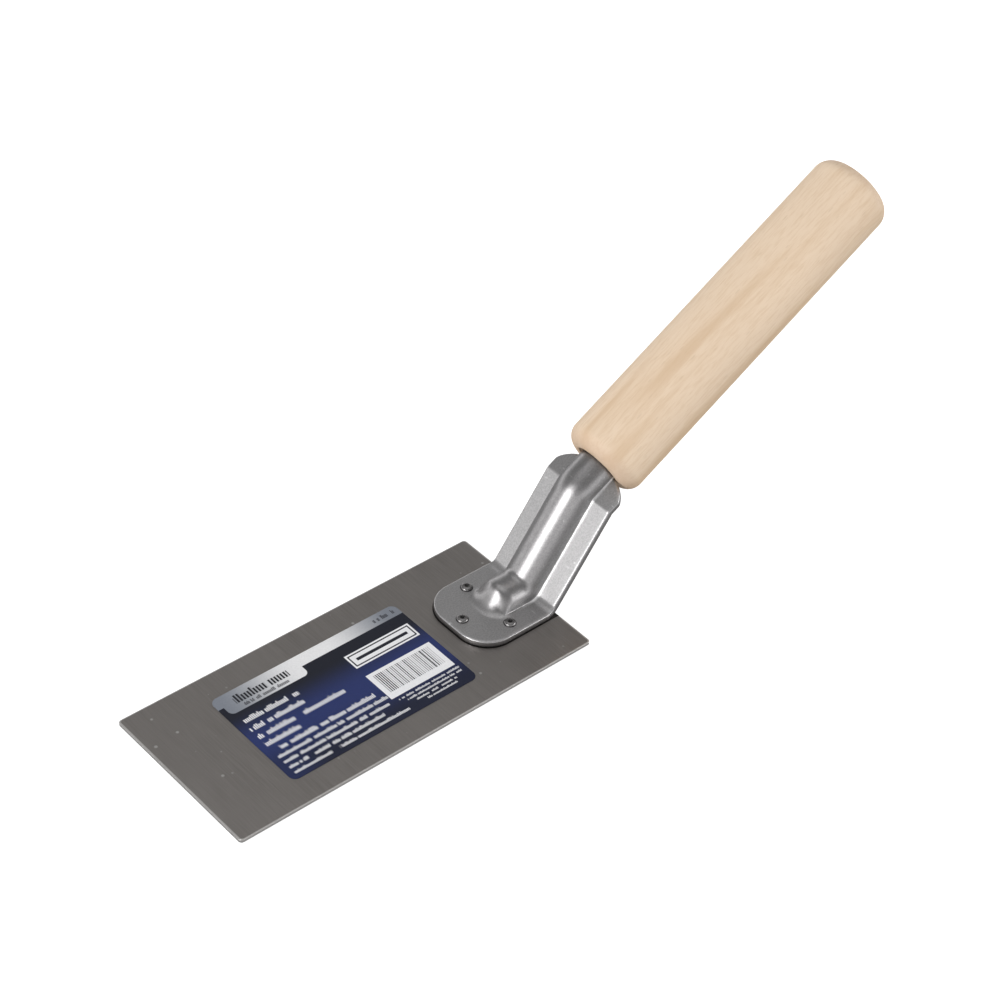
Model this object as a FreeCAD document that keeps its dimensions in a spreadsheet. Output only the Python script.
import FreeCAD, Part
import os
import Sketcher
from FreeCAD import Placement, Rotation, Vector
from math import atan2, cos, degrees, radians, sin, tan

# A margin trowel: a flat rectangular blade, a bent sheet-steel shank riveted on top of it, and a round
# wooden handle driven on to the shank's tang. Millimetres. The origin is the middle of the blade's
# underside; +X runs from the toe of the blade to the handle, +Y to its left and +Z up.

DIMENSIONS = {
    "blade_length": 114.3,
    "blade_width": 50.8,
    "blade_thick": 1.0,
    "blade_corner": 1.0,
    "label_length": 60.0,
    "label_width": 34.6,
    "label_thick": 0.12,
    "label_corner": 2.0,
    "label_x": -5.2,
    "label_y": -0.3,
    "shank_width": 25.4,
    "shank_thick": 2.0,
    "edge_roll": 0.6,
    "foot_front": 30.4,
    "foot_corner": 9.0,
    "shoulder_corner": 6.0,
    "low_bend_x": 54.9,
    "low_bend_radius": 7.0,
    "rise_angle": 55.2,
    "high_bend_radius": 6.0,
    "rib_radius": 6.0,
    "rib_start": 50.5,
    "nose_length": 11.0,
    "tang_length": 45.0,
    "seat_drop": 0.5,
    "handle_x": 79.2,
    "handle_z": 33.0,
    "handle_angle": 30.88,
    "handle_length": 105.0,
    "handle_radius": 11.7,
    "handle_front_round": 4.3,
    "handle_butt_round": 4.6,
    "bore_radius": 6.55,
    "bore_mouth": 0.35,
    "bore_depth": 52.0,
    "bore_tip": 4.0,
    "rivet_front_x": 34.3,
    "rivet_side_x": 43.3,
    "rivet_side_y": 8.7,
    "rivet_radius": 1.3,
    "rivet_head_radius": 1.6,
    "rivet_head_height": 0.75,
    "rivet_dimple_radius": 0.55,
    "rivet_dimple_depth": 0.4,
    "rivet_sink": 0.8,
}

doc = FreeCAD.newDocument("margin_trowel")
sheet = doc.addObject("Spreadsheet::Sheet", "dims")
for row, (alias, value) in enumerate(DIMENSIONS.items(), start=1):
    sheet.set("A%d" % row, alias)
    sheet.set("B%d" % row, str(value))
    sheet.setAlias("B%d" % row, alias)
doc.recompute()

# Heights and points worked out from the driving dimensions, as expressions on the sheet.
SHANK_TOP = "(dims.blade_thick + dims.shank_thick)"
LOW_TANGENT_X = "(dims.low_bend_x - dims.low_bend_radius * tan(dims.rise_angle * 1deg / 2))"
SEAT_X = "(dims.handle_x + dims.seat_drop * sin(dims.handle_angle * 1deg))"
SEAT_Z = "(dims.handle_z - dims.seat_drop * cos(dims.handle_angle * 1deg))"
TANG_END_X = SEAT_X + " + dims.tang_length * cos(dims.handle_angle * 1deg)"
TANG_END_Z = SEAT_Z + " + dims.tang_length * sin(dims.handle_angle * 1deg)"
TUNNEL_RADIUS = "(dims.rib_radius - dims.shank_thick)"
RIVET_PLACES = {
    "rivet_front": ("dims.rivet_front_x", "0"),
    "rivet_left": ("dims.rivet_side_x", "dims.rivet_side_y"),
    "rivet_right": ("dims.rivet_side_x", "-dims.rivet_side_y"),
}


def size(alias):
    """The number in the sheet's cell with this alias."""
    return float(sheet.get(alias))


# The same heights, turns and places as plain numbers, for drawing the sketches near their final shape.
TINY = 1e-4
SHANK_TOP_Z = size("blade_thick") + size("shank_thick")
LOW_TURN = radians(size("rise_angle"))
HANDLE_TURN = radians(size("handle_angle"))
RIVET_POINTS = {
    "rivet_front": (size("rivet_front_x"), 0),
    "rivet_left": (size("rivet_side_x"), size("rivet_side_y")),
    "rivet_right": (size("rivet_side_x"), -size("rivet_side_y")),
}


def new_body(label):
    """An empty body whose label is the piece's name."""
    body = doc.addObject("PartDesign::Body", label)
    body.Label = label
    return body


def new_sketch(body, name, role):
    """A sketch on one of the body's own origin planes."""
    sketch = body.newObject("Sketcher::SketchObject", name)
    plane = [item for item in body.Origin.OriginFeatures if item.Role == role][0]
    sketch.AttachmentSupport = [(plane, "")]
    sketch.MapMode = "FlatFace"
    return sketch


def bind(sketch, name, expression, *what):
    """Add a dimension to a sketch and tie it to the sheet."""
    index = sketch.addConstraint(Sketcher.Constraint(*what))
    sketch.renameConstraint(index, name)
    sketch.setExpression("Constraints." + name, expression)


def join(sketch, *edges):
    """Tie the end of each edge to the start of the next one."""
    for edge, following in zip(edges, edges[1:]):
        sketch.addConstraint(Sketcher.Constraint("Coincident", edge, 2, following, 1))


def line(sketch, start, end):
    """A straight edge from start to end, each an (across, up) pair."""
    return sketch.addGeometry(Part.LineSegment(Vector(*start, 0), Vector(*end, 0)), False)


def arc(sketch, centre, radius, from_angle, to_angle):
    """An anticlockwise arc between two angles in degrees."""
    circle = Part.Circle(Vector(*centre, 0), Vector(0, 0, 1), radius)
    return sketch.addGeometry(Part.ArcOfCircle(circle, radians(from_angle), radians(to_angle)), False)


def rounded_rectangle(body, name, length, width, centre_x="0", centre_y="0"):
    """A rectangle on the XY plane with its sides on the sheet; its corners are rounded later."""
    sketch = new_sketch(body, name, "XY_Plane")
    half_x = size(length) / 2
    half_y = size(width) / 2
    corners = [(-half_x, -half_y), (half_x, -half_y), (half_x, half_y), (-half_x, half_y)]
    for start, end in zip(corners, corners[1:] + corners[:1]):
        line(sketch, start, end)
    join(sketch, 0, 1, 2, 3, 0)
    for edge, direction in enumerate(("Horizontal", "Vertical", "Horizontal", "Vertical")):
        sketch.addConstraint(Sketcher.Constraint(direction, edge))
    bind(sketch, "length", "dims." + length, "DistanceX", 0, 1, 0, 2, 2 * half_x)
    bind(sketch, "width", "dims." + width, "DistanceY", 1, 1, 1, 2, 2 * half_y)
    bind(sketch, "right", "dims." + length + " / 2 + " + centre_x, "DistanceX", -1, 1, 0, 2, half_x)
    bind(sketch, "top", "dims." + width + " / 2 + " + centre_y, "DistanceY", -1, 1, 1, 2, half_y)
    return sketch


def pad(body, sketch, length):
    """Pad a sketch upward by a length on the sheet."""
    feature = body.newObject("PartDesign::Pad", sketch.Name + "_pad")
    feature.Profile = sketch
    feature.setExpression("Length", length)
    doc.recompute()
    return feature


def fillet(body, name, edges, radius):
    """Round the named edges of the body's last feature."""
    base = body.Tip
    feature = body.newObject("PartDesign::Fillet", name)
    feature.Base = (base, edges)
    feature.setExpression("Radius", radius)
    doc.recompute()


def edges_where(feature, test):
    """The names of the feature's edges whose two ends and middle all pass the test."""
    names = []
    for index, edge in enumerate(feature.Shape.Edges, start=1):
        middle = edge.valueAt((edge.FirstParameter + edge.LastParameter) / 2)
        points = [vertex.Point for vertex in edge.Vertexes] + [middle]
        if all(test(point) for point in points):
            names.append("Edge%d" % index)
    return names


def upright_corners(feature):
    """The names of a plate's short upright edges at its four corners."""
    names = []
    for index, edge in enumerate(feature.Shape.Edges, start=1):
        ends = [vertex.Point for vertex in edge.Vertexes]
        if len(ends) == 2 and abs(ends[0].x - ends[1].x) < TINY and abs(ends[0].y - ends[1].y) < TINY:
            names.append("Edge%d" % index)
    return names


def rivet_holes(body):
    """Drill one hole through the body at each rivet."""
    sketch = new_sketch(body, body.Name + "_holes", "XY_Plane")
    for name, (place_x, place_y) in RIVET_PLACES.items():
        centre = Vector(RIVET_POINTS[name][0], RIVET_POINTS[name][1], 0)
        hole = sketch.addGeometry(Part.Circle(centre, Vector(0, 0, 1), size("rivet_radius")), False)
        bind(sketch, name + "_x", place_x, "DistanceX", -1, 1, hole, 3, centre.x)
        if centre.y == 0:
            sketch.addConstraint(Sketcher.Constraint("PointOnObject", hole, 3, -1))
        else:
            bind(sketch, name + "_y", place_y, "DistanceY", -1, 1, hole, 3, centre.y)
        bind(sketch, name + "_radius", "dims.rivet_radius", "Radius", hole, size("rivet_radius"))
    before = body.Shape.Volume
    pocket = body.newObject("PartDesign::Pocket", body.Name + "_holes_cut")
    pocket.Profile = sketch
    pocket.Type = "ThroughAll"
    pocket.Reversed = True
    doc.recompute()
    if body.Shape.Volume > before - TINY:
        raise RuntimeError("the rivet holes cut nothing")


def make_blade():
    """The plate, with its corners just broken and a countersunk hole for each rivet."""
    body = new_body("blade")
    outline = rounded_rectangle(body, "blade_outline", "blade_length", "blade_width")
    plate = pad(body, outline, "dims.blade_thick")
    fillet(body, "blade_corners", upright_corners(plate), "dims.blade_corner")
    rivet_holes(body)
    under = edges_where(body.Tip, lambda p: abs(p.z) < TINY and near_rivet(p))
    sink = body.newObject("PartDesign::Chamfer", "blade_countersinks")
    sink.Base = (body.getObject("blade_holes_cut"), under)
    sink.setExpression("Size", "dims.rivet_sink")
    doc.recompute()
    return body


def near_rivet(point):
    """Whether a point lies on the rim of one of the rivet holes."""
    for centre_x, centre_y in RIVET_POINTS.values():
        reach = ((point.x - centre_x) ** 2 + (point.y - centre_y) ** 2) ** 0.5
        if reach < size("rivet_radius") + TINY:
            return True
    return False


def make_label():
    """The thin printed film on top of the blade."""
    body = new_body("label")
    outline = rounded_rectangle(
        body, "label_outline", "label_length", "label_width", "dims.label_x", "dims.label_y"
    )
    film = pad(body, outline, "dims.label_thick")
    fillet(body, "label_corners", upright_corners(film), "dims.label_corner")
    body.setExpression("Placement.Base.z", "dims.blade_thick")
    return body


def bent_path(body, name, start_x, start_expression, end, end_expressions):
    """The line of the shank's upper face: level, up the lower bend, then along the handle."""
    sketch = new_sketch(body, name, "XZ_Plane")
    low = size("low_bend_radius")
    high = size("high_bend_radius")
    rise = size("rise_angle")
    settle = size("handle_angle")
    low_start = (size("low_bend_x") - low * tan(LOW_TURN / 2), SHANK_TOP_Z)
    low_end = (low_start[0] + low * sin(LOW_TURN), SHANK_TOP_Z + low * (1 - cos(LOW_TURN)))
    along = (cos(HANDLE_TURN), sin(HANDLE_TURN))
    rising = (cos(LOW_TURN), sin(LOW_TURN))
    gap = (end[0] - low_end[0], end[1] - low_end[1])
    cross = rising[0] * along[1] - rising[1] * along[0]
    reach = (gap[0] * along[1] - gap[1] * along[0]) / cross
    corner = (low_end[0] + rising[0] * reach, low_end[1] + rising[1] * reach)
    cut = high * tan((LOW_TURN - HANDLE_TURN) / 2)
    high_start = (corner[0] - rising[0] * cut, corner[1] - rising[1] * cut)
    high_end = (corner[0] + along[0] * cut, corner[1] + along[1] * cut)
    high_centre = (high_start[0] + rising[1] * high, high_start[1] - rising[0] * high)
    foot = line(sketch, (start_x, SHANK_TOP_Z), low_start)
    low_arc = arc(sketch, (low_start[0], SHANK_TOP_Z + low), low, 270, 270 + rise)
    slope = line(sketch, low_end, high_start)
    high_arc = arc(sketch, high_centre, high, 90 + settle, 90 + rise)
    neck = line(sketch, high_end, end)
    sketch.addConstraint(Sketcher.Constraint("Horizontal", foot))
    sketch.addConstraint(Sketcher.Constraint("Tangent", foot, 2, low_arc, 1))
    sketch.addConstraint(Sketcher.Constraint("Tangent", low_arc, 2, slope, 1))
    sketch.addConstraint(Sketcher.Constraint("Tangent", slope, 2, high_arc, 2))
    sketch.addConstraint(Sketcher.Constraint("Tangent", high_arc, 1, neck, 1))
    bind(sketch, "start_x", start_expression, "DistanceX", -1, 1, foot, 1, start_x)
    bind(sketch, "level", SHANK_TOP, "DistanceY", -1, 1, foot, 1, SHANK_TOP_Z)
    bind(sketch, "bend_x", LOW_TANGENT_X, "DistanceX", -1, 1, foot, 2, low_start[0])
    bind(sketch, "low_radius", "dims.low_bend_radius", "Radius", low_arc, low)
    bind(sketch, "high_radius", "dims.high_bend_radius", "Radius", high_arc, high)
    bind(sketch, "rise", "dims.rise_angle * 1deg", "Angle", slope, LOW_TURN)
    bind(sketch, "settle", "dims.handle_angle * 1deg", "Angle", neck, HANDLE_TURN)
    bind(sketch, "end_x", end_expressions[0], "DistanceX", -1, 1, neck, 2, end[0])
    bind(sketch, "end_z", end_expressions[1], "DistanceY", -1, 1, neck, 2, end[1])
    doc.recompute()
    return sketch


def section_plane(body, name, start):
    """A sketch across the shank at a distance along X that the sheet gives."""
    sketch = new_sketch(body, name, "YZ_Plane")
    sketch.setExpression("AttachmentOffset.Base.z", start)
    return sketch


def strip_section(body):
    """The sheet's own section: wide and thin."""
    sketch = section_plane(body, "strip_section", "dims.foot_front")
    half = size("shank_width") / 2
    low = size("blade_thick")
    corners = [(-half, low), (half, low), (half, SHANK_TOP_Z), (-half, SHANK_TOP_Z)]
    for start, end in zip(corners, corners[1:] + corners[:1]):
        line(sketch, start, end)
    join(sketch, 0, 1, 2, 3, 0)
    for edge, direction in enumerate(("Horizontal", "Vertical", "Horizontal", "Vertical")):
        sketch.addConstraint(Sketcher.Constraint(direction, edge))
    bind(sketch, "width", "dims.shank_width", "DistanceX", 0, 1, 0, 2, 2 * half)
    bind(sketch, "right", "dims.shank_width / 2", "DistanceX", -1, 1, 0, 2, half)
    bind(sketch, "under", "dims.blade_thick", "DistanceY", -1, 1, 0, 1, low)
    bind(sketch, "thick", "dims.shank_thick", "DistanceY", 1, 1, 1, 2, SHANK_TOP_Z - low)
    return sketch


def arch_section(body, name, radius, radius_expression, low, low_expression):
    """A half-round arch on two upright legs, for the rib and for the tunnel under it."""
    sketch = section_plane(body, name, "dims.rib_start")
    line(sketch, (-radius, SHANK_TOP_Z), (-radius, low))
    line(sketch, (-radius, low), (radius, low))
    line(sketch, (radius, low), (radius, SHANK_TOP_Z))
    arc(sketch, (0, SHANK_TOP_Z), radius, 0, 180)
    join(sketch, 0, 1, 2, 3, 0)
    sketch.addConstraint(Sketcher.Constraint("Vertical", 0))
    sketch.addConstraint(Sketcher.Constraint("Horizontal", 1))
    sketch.addConstraint(Sketcher.Constraint("Vertical", 2))
    bind(sketch, "radius", radius_expression, "Radius", 3, radius)
    sketch.addConstraint(Sketcher.Constraint("PointOnObject", 3, 3, -2))
    bind(sketch, "spring", SHANK_TOP, "DistanceY", -1, 1, 3, 3, SHANK_TOP_Z)
    sketch.addConstraint(Sketcher.Constraint("Horizontal", 3, 1, 3, 3))
    sketch.addConstraint(Sketcher.Constraint("Horizontal", 3, 2, 3, 3))
    bind(sketch, "foot", low_expression, "DistanceY", -1, 1, 1, 1, low)
    return sketch


def sweep(body, kind, name, section, path):
    """Sweep a section along a path, adding or taking away."""
    feature = body.newObject("PartDesign::" + kind, name)
    feature.Profile = section
    feature.Spine = (path, [])
    feature.Mode = "Standard"
    doc.recompute()


def dome(body, kind, name, radius_expression, length_expression):
    """The rounded nose of the rib: the front of an ellipsoid centred where the rib starts."""
    feature = body.newObject("PartDesign::" + kind, name)
    feature.setExpression("Radius1", radius_expression)
    feature.setExpression("Radius2", radius_expression)
    feature.setExpression("Radius3", length_expression)
    feature.Placement = Placement(Vector(0, 0, 0), Rotation(Vector(0, 0, 1), 90))
    feature.setExpression("Placement.Base.x", "dims.rib_start")
    feature.setExpression("Placement.Base.z", SHANK_TOP)
    feature.Angle3 = 180
    if kind.startswith("Additive"):
        feature.Angle1 = 0
    doc.recompute()


def make_shank():
    """The stamped shank: foot, rising neck with its rib and flanges, and the tang."""
    body = new_body("shank")
    seat = (
        size("handle_x") + size("seat_drop") * sin(HANDLE_TURN),
        size("handle_z") - size("seat_drop") * cos(HANDLE_TURN),
    )
    tang_end = (
        seat[0] + size("tang_length") * cos(HANDLE_TURN),
        seat[1] + size("tang_length") * sin(HANDLE_TURN),
    )
    radius = size("rib_radius")
    tunnel = radius - size("shank_thick")
    strip_path = bent_path(
        body, "strip_path", size("foot_front"), "dims.foot_front", seat, (SEAT_X, SEAT_Z)
    )
    sweep(body, "AdditivePipe", "strip", strip_section(body), strip_path)
    rib_path = bent_path(
        body, "rib_path", size("rib_start"), "dims.rib_start", tang_end, (TANG_END_X, TANG_END_Z)
    )
    arch = arch_section(
        body, "rib_section", radius, "dims.rib_radius", size("blade_thick"), "dims.blade_thick"
    )
    sweep(body, "AdditivePipe", "rib", arch, rib_path)
    dome(body, "AdditiveEllipsoid", "nose", "dims.rib_radius", "dims.nose_length")
    below = size("blade_thick") / 2
    hollow = arch_section(body, "tunnel_section", tunnel, TUNNEL_RADIUS, below, "dims.blade_thick / 2")
    sweep(body, "SubtractivePipe", "tunnel", hollow, rib_path)
    dome(body, "SubtractiveEllipsoid", "nose_hollow", TUNNEL_RADIUS, "dims.nose_length - dims.shank_thick")
    half_width = size("shank_width") / 2

    def on_foot_front(point):
        return abs(point.x - size("foot_front")) < TINY

    def on_shoulder(point):
        past_seat = (point.x - seat[0]) * cos(HANDLE_TURN) + (point.z - seat[1]) * sin(HANDLE_TURN)
        return abs(abs(point.y) - half_width) < TINY and abs(past_seat) < TINY

    foot = edges_where(body.Tip, lambda p: on_foot_front(p) and abs(abs(p.y) - half_width) < TINY)
    fillet(body, "foot_corners", foot, "dims.foot_corner")
    fillet(body, "shoulder_corners", edges_where(body.Tip, on_shoulder), "dims.shoulder_corner")
    top_front = edges_where(body.Tip, lambda p: on_foot_front(p) and abs(p.z - SHANK_TOP_Z) < TINY)
    fillet(body, "rolled_edge", top_front, "dims.edge_roll")
    rivet_holes(body)
    return body


def make_rivet(name):
    """A rivet: a domed head with a dimple, a plain shaft, and a foot spread into the countersink."""
    body = new_body(name)
    sketch = new_sketch(body, name + "_section", "XZ_Plane")
    shaft = size("rivet_radius")
    sink = size("rivet_sink")
    head = size("rivet_head_radius")
    rim = size("rivet_dimple_radius")
    raised = size("rivet_head_height")
    sunken = size("rivet_dimple_depth")
    crown = SHANK_TOP_Z + raised
    dimple = crown - sunken
    dome_z = (rim ** 2 + crown ** 2 - head ** 2 - SHANK_TOP_Z ** 2) / (2 * (crown - SHANK_TOP_Z))
    dome_radius = (head ** 2 + (SHANK_TOP_Z - dome_z) ** 2) ** 0.5
    low_angle = degrees(atan2(SHANK_TOP_Z - dome_z, head))
    high_angle = degrees(atan2(crown - dome_z, rim))
    points = [(0, 0), (shaft + sink, 0), (shaft, sink), (shaft, SHANK_TOP_Z), (head, SHANK_TOP_Z)]
    for start, end in zip(points, points[1:]):
        line(sketch, start, end)
    dome_edge = arc(sketch, (0, dome_z), dome_radius, low_angle, high_angle)
    slope = line(sketch, (rim, crown), (0, dimple))
    axis = line(sketch, (0, dimple), (0, 0))
    join(sketch, 0, 1, 2, 3, dome_edge, slope, axis, 0)
    sketch.addConstraint(Sketcher.Constraint("Coincident", axis, 2, -1, 1))
    sketch.addConstraint(Sketcher.Constraint("Vertical", axis))
    sketch.addConstraint(Sketcher.Constraint("Horizontal", 0))
    sketch.addConstraint(Sketcher.Constraint("Vertical", 2))
    sketch.addConstraint(Sketcher.Constraint("Horizontal", 3))
    sketch.addConstraint(Sketcher.Constraint("PointOnObject", dome_edge, 3, -2))
    sunk = "dims.rivet_radius + dims.rivet_sink"
    bind(sketch, "sunk_radius", sunk, "DistanceX", 0, 1, 0, 2, shaft + sink)
    bind(sketch, "shaft_radius", "dims.rivet_radius", "DistanceX", -1, 1, 1, 2, shaft)
    bind(sketch, "sink_depth", "dims.rivet_sink", "DistanceY", -1, 1, 1, 2, sink)
    bind(sketch, "grip", SHANK_TOP, "DistanceY", -1, 1, 2, 2, SHANK_TOP_Z)
    bind(sketch, "head_radius", "dims.rivet_head_radius", "DistanceX", -1, 1, 3, 2, head)
    bind(sketch, "rim_radius", "dims.rivet_dimple_radius", "DistanceX", -1, 1, dome_edge, 2, rim)
    bind(sketch, "head_height", "dims.rivet_head_height", "DistanceY", 3, 2, dome_edge, 2, raised)
    bind(sketch, "dimple_depth", "dims.rivet_dimple_depth", "DistanceY", slope, 2, slope, 1, sunken)
    turn(body, name + "_turned", sketch, "V_Axis")
    place_x, place_y = RIVET_PLACES[name]
    body.setExpression("Placement.Base.x", place_x)
    body.setExpression("Placement.Base.y", place_y)
    return body


def turn(body, name, sketch, axis):
    """Turn a half section all the way round an axis of its own sketch."""
    feature = body.newObject("PartDesign::Revolution", name)
    feature.Profile = sketch
    feature.ReferenceAxis = (sketch, [axis])
    feature.Angle = 360
    doc.recompute()


def make_handle():
    """The turned handle, bored from its front end."""
    body = new_body("handle")
    sketch = new_sketch(body, "handle_section", "XZ_Plane")
    length = size("handle_length")
    radius = size("handle_radius")
    front = size("handle_front_round")
    butt = size("handle_butt_round")
    bore = size("bore_radius")
    depth = size("bore_depth")
    mouth = size("bore_mouth")
    drill_tip = depth + size("bore_tip")
    tip = line(sketch, (drill_tip, 0), (depth, bore))
    wall = line(sketch, (depth, bore), (mouth, bore))
    bevel = line(sketch, (mouth, bore), (0, bore + mouth))
    face = line(sketch, (0, bore + mouth), (0, radius - front))
    front_arc = arc(sketch, (front, radius - front), front, 90, 180)
    side = line(sketch, (front, radius), (length - butt, radius))
    butt_arc = arc(sketch, (length - butt, radius - butt), butt, 0, 90)
    end = line(sketch, (length, radius - butt), (length, 0))
    middle = line(sketch, (length, 0), (drill_tip, 0))
    join(sketch, tip, wall, bevel, face)
    join(sketch, end, middle, tip)
    sketch.addConstraint(Sketcher.Constraint("Coincident", face, 2, front_arc, 2))
    sketch.addConstraint(Sketcher.Constraint("Tangent", front_arc, 1, side, 1))
    sketch.addConstraint(Sketcher.Constraint("Tangent", side, 2, butt_arc, 2))
    sketch.addConstraint(Sketcher.Constraint("Coincident", butt_arc, 1, end, 1))
    sketch.addConstraint(Sketcher.Constraint("Horizontal", wall))
    sketch.addConstraint(Sketcher.Constraint("Vertical", face))
    sketch.addConstraint(Sketcher.Constraint("Horizontal", side))
    sketch.addConstraint(Sketcher.Constraint("Vertical", end))
    sketch.addConstraint(Sketcher.Constraint("PointOnObject", middle, 1, -1))
    sketch.addConstraint(Sketcher.Constraint("PointOnObject", middle, 2, -1))
    sketch.addConstraint(Sketcher.Constraint("PointOnObject", face, 1, -2))
    sketch.addConstraint(Sketcher.Constraint("Horizontal", front_arc, 3, front_arc, 2))
    sketch.addConstraint(Sketcher.Constraint("Horizontal", butt_arc, 3, butt_arc, 1))
    bind(sketch, "bore_radius", "dims.bore_radius", "DistanceY", -1, 1, wall, 1, bore)
    bind(sketch, "bore_depth", "dims.bore_depth", "DistanceX", -1, 1, wall, 1, depth)
    bind(sketch, "mouth_depth", "dims.bore_mouth", "DistanceX", -1, 1, wall, 2, mouth)
    bind(sketch, "mouth_width", "dims.bore_mouth", "DistanceY", bevel, 1, bevel, 2, mouth)
    bind(sketch, "bore_tip", "dims.bore_depth + dims.bore_tip", "DistanceX", -1, 1, tip, 1, drill_tip)
    bind(sketch, "radius", "dims.handle_radius", "DistanceY", -1, 1, side, 1, radius)
    bind(sketch, "length", "dims.handle_length", "DistanceX", -1, 1, end, 1, length)
    bind(sketch, "front_round", "dims.handle_front_round", "Radius", front_arc, front)
    bind(sketch, "butt_round", "dims.handle_butt_round", "Radius", butt_arc, butt)
    turn(body, "handle_turned", sketch, "H_Axis")
    body.Placement = Placement(Vector(0, 0, 0), Rotation(Vector(0, -1, 0), size("handle_angle")))
    body.setExpression("Placement.Rotation.Angle", "dims.handle_angle * 1deg")
    body.setExpression("Placement.Base.x", "dims.handle_x")
    body.setExpression("Placement.Base.z", "dims.handle_z")
    return body


def check_document(pieces):
    """Stop if any object failed, or a piece isn't one sound solid."""
    for item in doc.Objects:
        if "Invalid" in item.State or "Error" in item.State:
            raise RuntimeError("%s failed: %s" % (item.Name, item.State))
    for piece in pieces:
        shape = piece.Shape
        if shape.isNull() or not shape.isValid() or len(shape.Solids) != 1:
            raise RuntimeError("%s isn't one sound solid" % piece.Label)


def write_pieces(pieces):
    """Write each piece to its own file."""
    os.makedirs("parts", exist_ok=True)
    for piece in pieces:
        piece.Shape.exportStep("parts/" + piece.Label + ".step")
        box = piece.Shape.BoundBox
        print(piece.Label, round(piece.Shape.Volume, 1), "mm3", round(box.XMax, 2), round(box.ZMax, 2))


pieces = [make_blade(), make_label(), make_shank(), make_handle()]
for rivet_name in RIVET_PLACES:
    pieces.append(make_rivet(rivet_name))
doc.recompute()
check_document(pieces)
write_pieces(pieces)
